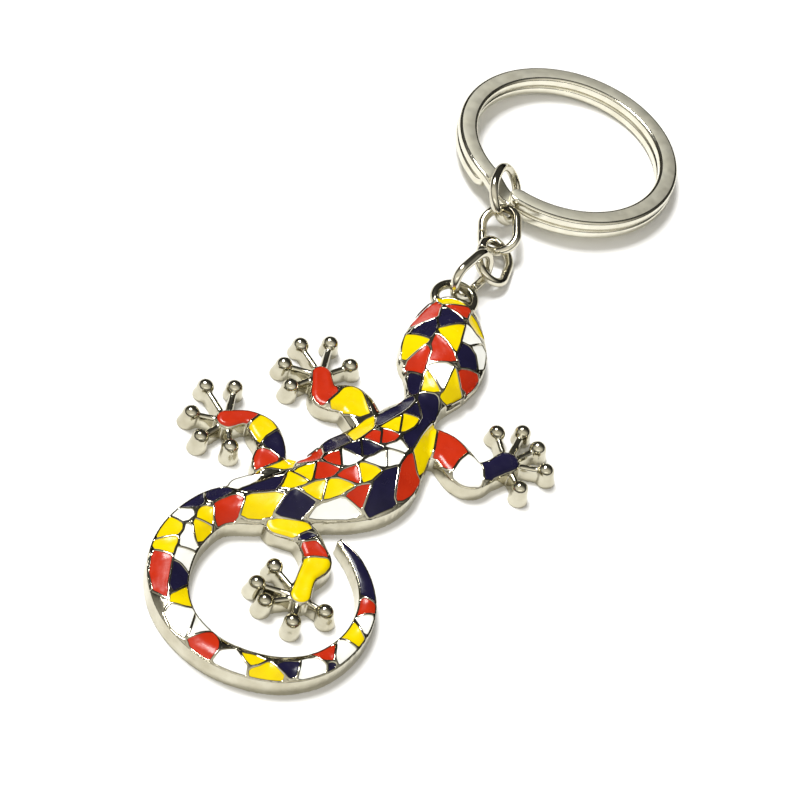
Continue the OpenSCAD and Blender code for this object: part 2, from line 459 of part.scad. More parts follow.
// A link of round wire: two half rounds and two straight sides, one of them cut by the seam
module link(place, length, width) {
    end_r = (width - link_wire) / 2;
    straight = length - width;
    translate(place[0]) rotate(place[1]) {
        for (side = [0, 180]) rotate([0, 0, side]) translate([straight / 2, 0, 0]) rotate([0, 0, -90])
            rotate_extrude(angle = 180) translate([end_r, 0]) circle(d = link_wire);
        translate([-straight / 2, -end_r, 0]) rotate([0, 90, 0]) cylinder(d = link_wire, h = straight);
        for (end = [-1, 1]) translate([end * (straight + link_seam) / 4, end_r, 0]) rotate([0, 90, 0])
            cylinder(d = link_wire, h = (straight - link_seam) / 2, center = true);
    }
}

module chain_link_1() color(METAL) link(LINK_1_AT, link_length, link_width);
module chain_link_2() color(METAL) link(LINK_2_AT, link_length, link_width);
module chain_link_3() color(METAL) link(LINK_3_AT, link_length, link_width);
module chain_link_4() color(METAL) link(LINK_4_AT, ring_link_length, ring_link_width);

// The split ring rests on the table at its far side and on link 4 at its near side
RING_C = [8.3, 50.9];
RING_TILT = 2.85;
// Direction from the ring's near side to its far side
RING_LEAN = 48;
// The wire comes down from the upper to the lower coil between these two angles
CROSSING = [229, 246];
CROSSING_STEPS = 8;
// Angle between the end of the crossing and the middle of the rounded end of the other coil
END_SET_BACK = 5.5;
// Clearance between the coils, which press on each other in the real ring
coil_gap = 0.04;
edge_chamfer = 0.22;
// Section of the flat wire, made smaller all round by the given inset
function ring_section(inset) = let (
    a = ring_od / 2 - ring_wire_w + inset, b = ring_od / 2 - inset,
    c = edge_chamfer, d = inset, h = ring_coil_h - inset
) [[a + c, d], [b - c, d], [b, d + c], [b, h - c], [b - c, h], [a + c, h], [a, h - c], [a, d + c]];
// The crossing and the rounded ends are a hair slimmer than the coils, and run on inside them
buried_inset = 0.02;
END_SECTION = let (b = ring_wire_w / 2 - buried_inset, c = edge_chamfer, d = buried_inset, h = ring_coil_h - d) [
    [0, d], [b - c, d], [b, d + c], [b, h - c], [b - c, h], [0, h]
];

module coil(from, to, level) translate([0, 0, level]) rotate([0, 0, from])
    rotate_extrude(angle = to - from) polygon(ring_section(0));

// Rounded end of the flat wire, a disc that lies half inside the coil
module wire_end(angle, level) rotate([0, 0, angle])
    translate([ring_od / 2 - ring_wire_w / 2, 0, level]) rotate_extrude() polygon(END_SECTION);

// The wire on its way from the upper coil down to the lower coil
module crossing(upper_level) {
    // Angle that each end runs on inside its coil
    buried = 1.2;
    section = ring_section(buried_inset);
    n = len(section);
    span = CROSSING[1] - CROSSING[0];
    stops = concat([-buried / span], [for (k = [0:CROSSING_STEPS]) k / CROSSING_STEPS], [1 + buried / span]);
    points = [for (stop = stops)
        let (
            t = max(0, min(1, stop)),
            angle = CROSSING[0] + span * stop,
            z = upper_level * (1 - t * t * (3 - 2 * t))
        )
        for (p = section) [p.x * cos(angle), p.x * sin(angle), p.y + z]
    ];
    last = len(stops) - 1;
    sides = [for (k = [0:last - 1], i = [0:n - 1]) let (a = k * n + i, b = k * n + (i + 1) % n)
        each [[a, b, a + n], [b, b + n, a + n]]];
    caps = [[for (i = [n - 1:-1:0]) i], [for (i = [0:n - 1]) last * n + i]];
    polyhedron(points = points, faces = concat(sides, caps));
}

module split_ring() color(METAL) translate([RING_C.x, RING_C.y, ring_od / 2 * sin(RING_TILT)])
    rotate([0, 0, RING_LEAN]) rotate([0, RING_TILT, 0]) rotate([0, 0, -RING_LEAN]) {
        upper_level = ring_coil_h + coil_gap;
        coil(CROSSING[1], CROSSING[0] + 360 - END_SET_BACK, 0);
        coil(CROSSING[1] + END_SET_BACK, CROSSING[0] + 360, upper_level);
        wire_end(CROSSING[0] - END_SET_BACK, 0);
        wire_end(CROSSING[1] + END_SET_BACK, upper_level);
        crossing(upper_level);
    }

split_ring();
chain_link_1();
chain_link_2();
chain_link_3();
chain_link_4();
gecko_casting();
head_enamel_red();
head_enamel_yellow();
head_enamel_navy();
head_enamel_white();
trunk_enamel_red();
trunk_enamel_yellow();
trunk_enamel_navy();
trunk_enamel_white();
tail_enamel_red();
tail_enamel_yellow();
tail_enamel_navy();
tail_enamel_white();
front_left_leg_enamel_red();
front_left_leg_enamel_yellow();
front_right_leg_enamel_red();
front_right_leg_enamel_white();
front_right_leg_enamel_navy();
hind_left_leg_enamel_red();
hind_left_leg_enamel_yellow();
hind_left_leg_enamel_navy();
hind_left_leg_enamel_white();
hind_right_leg_enamel_red();
hind_right_leg_enamel_yellow();
hind_right_leg_enamel_navy();
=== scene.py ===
"""Looks of the gecko keychain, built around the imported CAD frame. Metres, Z up, the CAD's own frame."""

import math

import bmesh
import bpy
import numpy as np
from mathutils import Matrix, Vector
from mathutils.bvhtree import BVHTree
from mathutils.geometry import delaunay_2d_cdt


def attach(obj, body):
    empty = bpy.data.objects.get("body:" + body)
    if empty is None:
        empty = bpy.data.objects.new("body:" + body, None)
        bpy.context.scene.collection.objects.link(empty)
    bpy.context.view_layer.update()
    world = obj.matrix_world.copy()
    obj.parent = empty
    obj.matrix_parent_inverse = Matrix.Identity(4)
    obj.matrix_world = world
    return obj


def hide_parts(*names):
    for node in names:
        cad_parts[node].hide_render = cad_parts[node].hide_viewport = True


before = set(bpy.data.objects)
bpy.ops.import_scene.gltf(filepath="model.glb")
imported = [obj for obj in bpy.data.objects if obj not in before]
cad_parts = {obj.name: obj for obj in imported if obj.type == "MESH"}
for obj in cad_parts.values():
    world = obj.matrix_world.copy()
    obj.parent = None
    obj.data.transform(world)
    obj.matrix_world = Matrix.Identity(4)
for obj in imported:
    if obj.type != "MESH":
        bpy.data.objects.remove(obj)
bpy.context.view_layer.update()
MM = 0.001

# The casting's layout repeats part.scad, in millimetres.
WALL_H = 2.2
LEG_WALL_H = 2.0
LEG_TOP_H = 2.6
DRAFT = 0.15
HEAD_AND_TRUNK = [
    (0.1, 18.35, 1.5, 2.5), (0.15, 17.6, 2.3, 2.9), (0.25, 15.8, 3.3, 3.6), (0.35, 13, 4.45, 4.3),
    (0.4, 10.5, 5.2, 4.6), (0.5, 8.2, 5.4, 4.6), (0.6, 6, 5, 4.4), (0.6, 4, 4.05, 4),
    (0.3, 2, 3.1, 3.6), (-0.1, 0, 2.35, 3.3), (-0.5, -2, 2.5, 3.4), (-1.3, -4.4, 3.6, 3.8),
    (-1.9, -7.2, 4.5, 4.2), (-2.9, -10.2, 5.4, 4.5), (-4, -13, 6.2, 4.6), (-5.3, -15.3, 6.2, 4.6),
    (-7, -17.2, 5.6, 4.4), (-9.8, -19.3, 4.7, 4.1), (-12.5, -21.3, 4.1, 3.7), (-15.5, -23.3, 3.25, 3.4),
]
TAIL_C = (-11.1, -34.6)
TAIL = [
    (135, 12.2, 2.65, 3.2), (158, 11.75, 2.65, 3.1), (180, 11.5, 2.6, 3.1), (203, 11.45, 2.3, 3),
    (225, 11.5, 2, 2.9), (248, 11.5, 1.9, 2.9), (270, 11.5, 1.9, 2.9), (293, 11.75, 1.8, 2.9),
    (315, 11.85, 1.55, 2.8), (338, 11.7, 1.3, 2.8), (360, 11.65, 1.15, 2.7), (380, 11.5, 0.95, 2.6),
    (400, 11.4, 0.75, 2.5), (417, 11.4, 0.35, 2.3),
]
LEGS = {
    "front_left": ([(-5.6, -6.6, 2.2), (-8.5, -3.4, 2.45), (-11.6, -4.2, 1.75), (-12.4, -2.4, 1.5),
                    (-13, -0.7, 1.3)],
                   [(-10, 2.2), (-13.2, 4.8), (-16.6, 3.1), (-17.7, -0.8), (-16.1, -3.9)]),
    "front_right": ([(1.2, -6.2, 2.6), (4.2, -6.4, 2.4), (7.4, -9, 2.4), (9.6, -7.7, 1.5), (11.5, -5.5, 1.6)],
                    [(9.4, -1.2), (12.4, 0.1), (14.7, -1.7), (16.3, -4.8), (13.8, -8.8)]),
    "hind_left": ([(-12.6, -18.4, 2.4), (-15.3, -17.2, 2.15), (-15.9, -14.2, 1.75), (-17.5, -11.9, 1.85),
                   (-19.6, -11, 1.15), (-21.9, -12.2, 1.45)],
                  [(-22.4, -6.8), (-25.7, -8), (-26.2, -12.7), (-24.2, -15.9), (-20.5, -16)]),
    "hind_right": ([(-12.2, -25.3, 1.75), (-9.2, -25.5, 1.7), (-7.4, -27.4, 1.6), (-6.6, -29.2, 1.75),
                    (-7.2, -31.6, 1.2), (-7.25, -34.5, 1.3)],
                   [(-11.1, -31.4), (-12.4, -34.5), (-10.9, -36.6), (-7.2, -38.3), (-4, -35.6)]),
}
HIND_LEFT_ROOT = [(-17.3, -22, 2), (-12.6, -18.4, 2.4)]
BALL_R = 1.05
BALL_Z = 1.75
COLUMN_R = 1.25
COLUMN_LEAN = 0.3
EYE_C = (-0.25, 18.35, 2.1)
EYE_R = 2.5
EYE_WIRE_R = 0.62
LINK_WIRE = 1.2
LINKS = {
    "chain_link_1": ("link_1", (1.01, 22.39, 2.98), (-105.2, -6.7, 63.8), 8.2, 5.8),
    "chain_link_2": ("link_2", (3.18, 27.06, 1.94), (30.2, 6.2, 86.3), 8.2, 5.8),
    "chain_link_3": ("link_3", (2.74, 32.55, 2.24), (-27.7, -7.1, 102.9), 8.2, 5.8),
    "chain_link_4": ("link_4", (2.18, 38.26, 3.28), (-123.5, 0.8, 84.6), 8.6, 7.6),
}
RING_C = (8.3, 50.9)
RING_TILT = 2.85
RING_LEAN = 48
RING_OD = 30
RING_W = 2.5
COIL_H = 1.38
COIL_GAP = 0.04
CROSSING = (229, 246)
END_SET_BACK = 5.5

# What only the visual pieces need, in millimetres.
VOXEL = 0.115
BACK_LAYER = 0.02
CASTING_TRIANGLES = 110000
LEG_STEPS, BODY_STEPS = 8, 9
RIB_HALF = [(-0.6, 0.0), (-0.5, 1.1), (-0.44, 1.6), (-0.32, 1.92)]
RIB_TOP = (0.0, 2.04)
COLUMN_STEPS = [(1.19, 0.5), (1.13, 0.9), (1.08, 1.3)]
COLUMN_FOOT_H = 0.15
LOWEST_TOP = 1.75  # below this the metal is wall, not top
RIM = 0.2  # metal left between a cell and the edge of the top
RIDGE = 0.27  # metal left between two cells
MOST_GROWTH = 0.42
BAND = 0.34  # how far a ridge's own mesh reaches from a cell
RIDGE_PROUD = 0.015
RIDGE_ROUND = (0.055, 0.12)  # drop at a cell's edge, and the width over which it fades
RIDGE_TUCK = (0.05, 0.2)  # drop at the outer side of the band, and where it starts
RIDGE_WALL = 0.3
RIM_CLEAR = 0.035
POCKET = 0.34
POCKET_EDGE = (-0.16, 0.14)  # where the pocket's wall starts outside a cell, and its width
RIDGE_BED = 0.09
RIDGE_BED_EDGE = (-0.3, 0.12)
OUTLINE_STEP = 0.22
EDGE_SINK = 0.1
MENISCUS, MENISCUS_WIDTH = 0.05, 0.35
DISH = 0.06
CELL_DEPTH = 0.22
CELL_TILT, TILT_WIDTH = 0.012, 0.3
CELL_GRID = 0.2
GRID_CLEAR = 0.13
SEAM_HALF = 0.05
SEAM_ROUND = (0.86, 0.07)  # size and set-back of a wire end's rounding
RING_AROUND = 24
RING_CORNER = 0.42
RING_STEPS = 460


# ---------------------------------------------------------------- small tools
def new_mesh(name, verts, faces, smooth=True):
    mesh = bpy.data.meshes.new(name)
    mesh.from_pydata([tuple(v) for v in verts], [], [tuple(f) for f in faces])
    mesh.validate()
    if smooth:
        mesh.polygons.foreach_set("use_smooth", [True] * len(mesh.polygons))
    mesh.update()
    obj = bpy.data.objects.new(name, mesh)
    bpy.context.scene.collection.objects.link(obj)
    return obj


def catmull(rows, steps):
    """Rows of numbers, with steps points of a Catmull-Rom curve from each row to the next."""
    rows = np.array(rows, float)
    out = []
    for i in range(len(rows) - 1):
        a, b, c, d = rows[max(i - 1, 0)], rows[i], rows[i + 1], rows[min(i + 2, len(rows) - 1)]
        for k in range(steps):
            t = k / steps
            out.append(0.5 * (2 * b + (c - a) * t + (2 * a - 5 * b + 4 * c - d) * t * t
                              + (3 * b - a - 3 * c + d) * t ** 3))
    out.append(rows[-1])
    return np.array(out)


def sweep_rings(rings, caps=True):
    """Vertices and faces of a tube through rings with the same number of points each."""
    n = len(rings[0])
    verts = [v for ring in rings for v in ring]
    faces = []
    for i in range(len(rings) - 1):
        for k in range(n):
            a, b = i * n + k, i * n + (k + 1) % n
            faces.append((a, b, b + n, a + n))
    if caps:
        faces.append(tuple(range(n - 1, -1, -1)))
        faces.append(tuple((len(rings) - 1) * n + k for k in range(n)))
    return verts, faces


class Soup:
    """Closed shells that the remesh joins into one."""

    def __init__(self):
        self.verts, self.faces = [], []

    def add(self, part):
        base = len(self.verts)
        self.verts += [tuple(v) for v in part[0]]
        self.faces += [tuple(i + base for i in f) for f in part[1]]


def domed_strip(stations, wall, profile, across=26):
    """A closed strip along stations of x, y, half width and crest, with upright walls and a shaped top."""
    rings = []
    for i, s in enumerate(stations):
        ahead = stations[min(i + 1, len(stations) - 1)][:2] - stations[max(i - 1, 0)][:2]
        side = np.array([-ahead[1], ahead[0]]) / np.hypot(*ahead)
        ring = [(*(s[:2] - side * (s[2] + DRAFT)), 0.0)]
        for k in range(across + 1):
            t = 2 * k / across - 1
            t = math.copysign(abs(t) ** 0.8, t)
            ring.append((*(s[:2] + side * s[2] * t), wall + (s[3] - wall) * profile(abs(t))))
        ring.append((*(s[:2] + side * (s[2] + DRAFT)), 0.0))
        rings.append(ring)
    return sweep_rings(rings)


def puck(x, y, r, wall, top, profile, around=40):
    """A round end for a leg."""
    rings = [[(x + (r + DRAFT) * math.cos(a), y + (r + DRAFT) * math.sin(a), 0.0) for a in angles(around)]]
    for t in (1, 0.93, 0.85, 0.75, 0.6, 0.4, 0.2, 0.05):
        z = wall + (top - wall) * profile(t)
        rings.append([(x + r * t * math.cos(a), y + r * t * math.sin(a), z) for a in angles(around)])
    return sweep_rings(rings)


def angles(n, start=0.0):
    return [start + 2 * math.pi * k / n for k in range(n)]


def torus(c, big, small, n=96, m=24):
    verts, faces = [], []
    for a in angles(n):
        for b in angles(m):
            r = big + small * math.cos(b)
            verts.append((c[0] + r * math.cos(a), c[1] + r * math.sin(a), c[2] + small * math.sin(b)))
    for i in range(n):
        for k in range(m):
            here, ahead, beside = i * m, ((i + 1) % n) * m, (k + 1) % m
            faces.append((here + k, ahead + k, ahead + beside, here + beside))
    return verts, faces


def dome(t):
    return 1 - t * t


def leg_profile(t):
    u = min(1.0, (1 - t) / 0.5)
    return u * (2 - u)


# ---------------------------------------------------------------- the casting
def add_leg(soup, stations):
    rows = [(x, y, r, LEG_TOP_H) for x, y, r in stations]
    soup.add(domed_strip(catmull(rows, LEG_STEPS), LEG_WALL_H, leg_profile))
    for x, y, r in stations:
        soup.add(puck(x, y, r, LEG_WALL_H, LEG_TOP_H, leg_profile))


def casting_soup():
    soup = Soup()
    tail = [(TAIL_C[0] + r * math.cos(math.radians(a)), TAIL_C[1] + r * math.sin(math.radians(a)), w, h)
            for a, r, w, h in TAIL]
    soup.add(domed_strip(catmull(HEAD_AND_TRUNK + tail, BODY_STEPS), WALL_H, dome))
    for stations, toes in LEGS.values():
        add_leg(soup, stations)
        foot = stations[-1]
        for ball in toes:
            soup.add(toe_ball(ball, foot))
            soup.add(toe_rib(ball, foot))
    add_leg(soup, HIND_LEFT_ROOT)
    soup.add(torus(EYE_C, EYE_R, EYE_WIRE_R))
    return soup


def toe_ball(ball, foot):
    """A ball on a column that widens and leans outward towards the flat back."""
    out = np.array(ball) - np.array(foot[:2])
    out = out / np.linalg.norm(out) * COLUMN_LEAN
    outline = [(COLUMN_R, 0.0), (COLUMN_R, COLUMN_FOOT_H)] + COLUMN_STEPS
    outline += [(BALL_R * math.cos(a), BALL_Z + BALL_R * math.sin(a))
                for a in [math.radians(d) for d in range(-9, 90, 9)]]
    outline.append((0.02, BALL_Z + BALL_R))
    rings = []
    for r, z in outline:
        c = np.array(ball) + out * max(0.0, 1 - z / BALL_Z)
        rings.append([(c[0] + r * math.cos(a), c[1] + r * math.sin(a), z) for a in angles(32)])
    return sweep_rings(rings)


def toe_rib(ball, foot):
    a, b = np.array(foot[:2]), np.array(ball)
    along = (b - a) / np.linalg.norm(b - a)
    side = np.array([-along[1], along[0]])
    profile = RIB_HALF + [RIB_TOP] + [(-w, h) for w, h in reversed(RIB_HALF)]
    rings = []
    for t in np.linspace(0, 1, 12):
        c = a + (b - a) * t
        rings.append([(*(c + side * w), h) for w, h in profile])
    return sweep_rings(rings)


def remeshed(soup):
    obj = new_mesh("casting_body", [tuple(c * MM for c in v) for v in soup.verts], soup.faces)
    mod = obj.modifiers.new("union", "REMESH")
    mod.mode = "VOXEL"
    mod.voxel_size = VOXEL * MM
    mod.adaptivity = 0
    return applied(obj)


def applied(obj):
    """Replaces the object's mesh with the result of its modifiers."""
    graph = bpy.context.evaluated_depsgraph_get()
    mesh = bpy.data.meshes.new_from_object(obj.evaluated_get(graph))
    old = obj.data
    obj.modifiers.clear()
    obj.data = mesh
    bpy.data.meshes.remove(old)
    return obj


def coords(mesh):
    co = np.empty(len(mesh.vertices) * 3)
    mesh.vertices.foreach_get("co", co)
    return co.reshape(-1, 3)


def moved_to(obj, points):
    """Puts the object's vertices at points in millimetres."""
    obj.data.vertices.foreach_set("co", (points * MM).ravel())
    obj.data.update()


def edge_array(mesh):
    e = np.empty(len(mesh.edges) * 2, dtype=np.int64)
    mesh.edges.foreach_get("vertices", e)
    return e.reshape(-1, 2)


def relax(co, edges, rounds, keep=None):
    """Moves each vertex towards the middle of its neighbours, and back out again so that nothing shrinks."""
    count = np.bincount(edges.ravel(), minlength=len(co))[:, None]
    for i in range(rounds):
        for factor in (0.5, -0.52):
            total = np.zeros_like(co)
            np.add.at(total, edges[:, 0], co[edges[:, 1]])
            np.add.at(total, edges[:, 1], co[edges[:, 0]])
            step = (total / count - co) * factor
            if keep is not None:
                step[keep] = 0
            co = co + step
    return co


# ---------------------------------------------------------------- the enamel cells
def cell_outlines(node):
    """Outlines of the enamel cells of a CAD node, as lists of x, y in millimetres."""
    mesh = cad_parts[node].data
    mesh.calc_loop_triangles()
    co = coords(mesh) / MM
    key = {}
    remap = []
    for v in co:
        k = (round(v[0], 3), round(v[1], 3), round(v[2], 3))
        remap.append(key.setdefault(k, len(key)))
    points = [None] * len(key)
    for k, i in key.items():
        points[i] = k
    edges = {}
    for tri in mesh.loop_triangles:
        a, b, c = (remap[i] for i in tri.vertices)
        pa, pb, pc = (np.array(points[i]) for i in (a, b, c))
        normal = np.cross(pb - pa, pc - pa)
        length = np.linalg.norm(normal)
        if length < 1e-9 or normal[2] / length < 0.25:
            continue
        for e in ((a, b), (b, c), (c, a)):
            edges[e] = True
    border = {a: b for a, b in edges if (b, a) not in edges}
    loops = []
    while border:
        start = next(iter(border))
        loop = [start]
        nxt = border.pop(start)
        while nxt != start and nxt in border:
            loop.append(nxt)
            nxt = border.pop(nxt)
        loops.append(np.array([points[i][:2] for i in loop]))
    return [cleaned(loop) for loop in loops if len(loop) > 2]


def cleaned(loop):
    """The outline without doubled points, counter-clockwise."""
    kept = [b for a, b in zip(np.roll(loop, 1, 0), loop) if np.linalg.norm(b - a) > 0.02]
    loop = np.array(kept)
    return loop if signed_area(loop) > 0 else loop[::-1]


def signed_area(loop):
    ahead = np.roll(loop, -1, 0)
    return 0.5 * np.sum(loop[:, 0] * ahead[:, 1] - loop[:, 1] * ahead[:, 0])


def densified(loop, longest):
    """The same outline with extra points along its long edges; corners stay."""
    out = []
    for a, b in zip(loop, np.roll(loop, -1, 0)):
        n = max(1, int(math.ceil(np.linalg.norm(b - a) / longest)))
        out += [a + (b - a) * k / n for k in range(n)]
    return np.array(out)


def outward(loop):
    """Mitred outward direction at each point of a counter-clockwise outline."""
    before, after = loop - np.roll(loop, 1, 0), np.roll(loop, -1, 0) - loop
    n1 = np.stack([before[:, 1], -before[:, 0]], 1) / (np.linalg.norm(before, axis=1)[:, None] + 1e-9)
    n2 = np.stack([after[:, 1], -after[:, 0]], 1) / (np.linalg.norm(after, axis=1)[:, None] + 1e-9)
    middle = n1 + n2
    length = np.linalg.norm(middle, axis=1)[:, None] + 1e-9
    middle /= length
    stretch = 1 / np.clip(np.sum(middle * n1, axis=1), 0.5, 1)
    return middle * stretch[:, None]


def footprint_segments():
    """Segments of the spine and of the legs with their half widths, in two arrays."""
    tail = [(TAIL_C[0] + r * math.cos(math.radians(a)), TAIL_C[1] + r * math.sin(math.radians(a)), w)
            for a, r, w, h in TAIL]
    rows = [catmull([r[:3] for r in HEAD_AND_TRUNK] + tail, 5)]
    rows += [catmull(stations, 4) for stations, toes in LEGS.values()]
    rows.append(catmull(HIND_LEFT_ROOT, 4))
    return np.vstack([r[:-1] for r in rows]), np.vstack([r[1:] for r in rows])


SEGMENTS = footprint_segments()


def rim_distance(pts):
    """Distance from points to the edge of the casting's top, positive inside."""
    a, b = SEGMENTS
    along = b[:, :2] - a[:, :2]
    square = np.maximum(np.sum(along * along, axis=1), 1e-9)
    best = np.full(len(pts), -9.0)
    for i in range(len(a)):
        w = pts - a[i, :2]
        t = np.clip(w @ along[i] / square[i], 0, 1)
        away = np.linalg.norm(w - t[:, None] * along[i], axis=1)
        best = np.maximum(best, a[i, 2] + (b[i, 2] - a[i, 2]) * t - away)
    return best


def grown(loops):
    """Widens every cell until only a thin ridge is left between neighbours, and keeps it off the rim."""
    loops = [densified(loop, OUTLINE_STEP) for loop in loops]
    start = [loop.copy() for loop in loops]
    boxes = [(loop.min(0) - 1, loop.max(0) + 1) for loop in loops]

    def gap(i, pts, others):
        best = np.full(len(pts), 9.0)
        for k, other in enumerate(others):
            if k == i or np.any(boxes[k][0] > boxes[i][1]) or np.any(boxes[k][1] < boxes[i][0]):
                continue
            best = np.minimum(best, -inside_distance(other, pts))
        return best

    for i, loop in enumerate(start):
        free = gap(i, loop, start)
        move = np.clip((free - RIDGE) / 2, -0.1, MOST_GROWTH)
        loops[i] = loop + outward(loop) * move[:, None]
    for turn in range(4):
        fixed = []
        for i, loop in enumerate(loops):
            free = gap(i, loop, loops)
            pull = np.clip((RIDGE * 0.85 - free) * 0.6, 0, 0.3)
            fixed.append(loop - outward(start[i]) * pull[:, None])
        loops = fixed
    for turn in range(6):
        for i, loop in enumerate(loops):
            short = RIM - rim_distance(loop)
            if short.max() <= 0:
                continue
            h = 0.02
            grad = np.stack([rim_distance(loop + (h, 0)) - rim_distance(loop - (h, 0)),
                             rim_distance(loop + (0, h)) - rim_distance(loop - (0, h))], 1) / (2 * h)
            loops[i] = loop + grad * np.clip(short, 0, 0.5)[:, None]
    return [rounded(loop) for loop in loops]


def rounded(loop):
    """Evens the outline out a little and spaces its points evenly."""
    loop = resampled(loop, 0.07)
    for turn in range(2):
        loop = 0.25 * np.roll(loop, 1, 0) + 0.5 * loop + 0.25 * np.roll(loop, -1, 0)
    return resampled(loop, 0.1)


def resampled(loop, spacing):
    closed = np.vstack([loop, loop[:1]])
    seg = np.linalg.norm(np.diff(closed, axis=0), axis=1)
    s = np.concatenate([[0], np.cumsum(seg)])
    n = max(8, int(s[-1] / spacing))
    at = np.linspace(0, s[-1], n, endpoint=False)
    return np.stack([np.interp(at, s, closed[:, 0]), np.interp(at, s, closed[:, 1])], 1)


def inside_distance(loop, pts):
    """Distance to the outline, positive inside."""
    a, b = loop, np.roll(loop, -1, 0)
    d = b - a
    best = np.full(len(pts), 1e9)
    crossings = np.zeros(len(pts), dtype=np.int64)
    for i in range(len(a)):
        w = pts - a[i]
        t = np.clip((w @ d[i]) / max(d[i] @ d[i], 1e-12), 0, 1)
        near = w - t[:, None] * d[i]
        best = np.minimum(best, near[:, 0] ** 2 + near[:, 1] ** 2)
        straddle = (a[i, 1] > pts[:, 1]) != (b[i, 1] > pts[:, 1])
        if abs(d[i, 1]) > 1e-12:
            x = a[i, 0] + (pts[:, 1] - a[i, 1]) * d[i, 0] / d[i, 1]
            crossings += straddle & (pts[:, 0] < x)
    return np.where(crossings % 2 == 1, 1, -1) * np.sqrt(best)


def smoothstep(x):
    x = np.clip(x, 0, 1)
    return x * x * (3 - 2 * x)


def height_over(tree, pts, start=8.0):
    """Heights of the metal over x, y points, in millimetres."""
    out = np.empty(len(pts))
    down = Vector((0, 0, -1))
    for i, (x, y) in enumerate(pts):
        hit = tree.ray_cast(Vector((x * MM, y * MM, start * MM)), down)[0]
        out[i] = hit.z / MM if hit is not None else WALL_H
    return out


def carve(obj, loops):
    """Sinks the metal under the cells and just below the ridges."""
    co = coords(obj.data) / MM
    normals = np.empty(len(co) * 3)
    obj.data.vertices.foreach_get("normal", normals)
    normals = normals.reshape(-1, 3)
    top = (co[:, 2] > LOWEST_TOP) & (normals[:, 2] > 0.12)
    ids = np.nonzero(top)[0]
    flat = co[ids, :2]
    sink = np.zeros(len(ids))
    for loop in loops:
        lo, hi = loop.min(0) - 0.4, loop.max(0) + 0.4
        near = np.nonzero(np.all((flat > lo) & (flat < hi), axis=1))[0]
        d = inside_distance(loop, flat[near])
        pocket = POCKET * smoothstep((d - POCKET_EDGE[0]) / POCKET_EDGE[1])
        under = RIDGE_BED * smoothstep((d - RIDGE_BED_EDGE[0]) / RIDGE_BED_EDGE[1])
        sink[near] = np.maximum(sink[near], np.maximum(pocket, under))
    co[ids, 2] -= sink * smoothstep((rim_distance(flat) - 0.04) / 0.1)
    moved_to(obj, co)


def nearest_cell(loops, pts):
    """Distance from points to the nearest cell, negative inside a cell."""
    best = np.full(len(pts), 9.0)
    for loop in loops:
        lo, hi = loop.min(0) - 0.5, loop.max(0) + 0.5
        near = np.nonzero(np.all((pts > lo) & (pts < hi), axis=1))[0]
        if len(near):
            best[near] = np.minimum(best[near], -inside_distance(loop, pts[near]))
    return best


def triangulated(points, edges, inside_only):
    """Points and counter-clockwise triangles of a Delaunay mesh that keeps the edges."""
    out = delaunay_2d_cdt([Vector(p) for p in points], edges, [], 1 if inside_only else 0, 1e-5)
    flat = np.array([(v.x, v.y) for v in out[0]])
    tris = np.array([tuple(f) for f in out[2] if len(f) == 3])
    ab = flat[tris[:, 1]] - flat[tris[:, 0]]
    ac = flat[tris[:, 2]] - flat[tris[:, 0]]
    clockwise = ab[:, 0] * ac[:, 1] - ab[:, 1] * ac[:, 0] < 0
    tris[clockwise] = tris[clockwise][:, [0, 2, 1]]
    return flat, tris


def sides(tris):
    """Every directed side of the triangles, in order; one without its reverse lies on the border."""
    return {side: None for a, b, c in tris.tolist() for side in ((a, b), (b, c), (c, a))}


def ridge_network(loops, tree):
    """The crests of the metal between and around the cells, with upright sides down into the pockets."""
    rim = []
    edges = []
    count = 0
    for loop in loops:
        n = len(loop)
        rim.append(loop)
        edges += [(count + k, count + (k + 1) % n) for k in range(n)]
        count += n
    rim = np.vstack(rim)
    extra = []
    for off, spacing in ((0.05, 1), (0.1, 1), (0.16, 1), (0.24, 2), (BAND, 2)):
        for loop in loops:
            cand = (loop + outward(loop) * off)[::spacing]
            cand = cand[rim_distance(cand) > RIM_CLEAR]
            if len(cand):
                extra.append(cand[nearest_cell(loops, cand) > off * 0.93])
    extra = np.vstack(extra)
    flat, tris = triangulated(np.vstack([rim, extra]), edges, False)
    middle = flat[tris].mean(1)
    longest = np.max(np.stack([np.linalg.norm(flat[tris[:, k]] - flat[tris[:, (k + 1) % 3]], axis=1)
                               for k in range(3)]), axis=0)
    away = nearest_cell(loops, middle)
    height = height_over(tree, flat)
    keep = (away > 0.002) & (away < BAND) & (longest < 0.9) & (rim_distance(middle) > 0.03)
    keep &= height[tris].min(1) > LOWEST_TOP
    tris = tris[keep]
    away = np.maximum(nearest_cell(loops, flat), 0)
    z = height + RIDGE_PROUD
    z -= RIDGE_ROUND[0] * (1 - np.clip(away / RIDGE_ROUND[1], 0, 1)) ** 2
    z -= RIDGE_TUCK[0] * smoothstep((away - RIDGE_TUCK[1]) / (BAND - RIDGE_TUCK[1]))
    verts = [(x * MM, y * MM, h * MM) for (x, y), h in zip(flat, z)]
    faces = [tuple(t) for t in tris.tolist()]
    used = sides(tris)
    wall = {}
    for a, b in used:
        if (b, a) in used:
            continue
        for v in (a, b):
            if v not in wall:
                wall[v] = len(verts)
                x, y, h = verts[v]
                verts.append((x, y, h))
                verts.append((x, y, h - RIDGE_WALL * MM))
        faces.append((wall[b], wall[a], wall[a] + 1, wall[b] + 1))
    return verts, faces


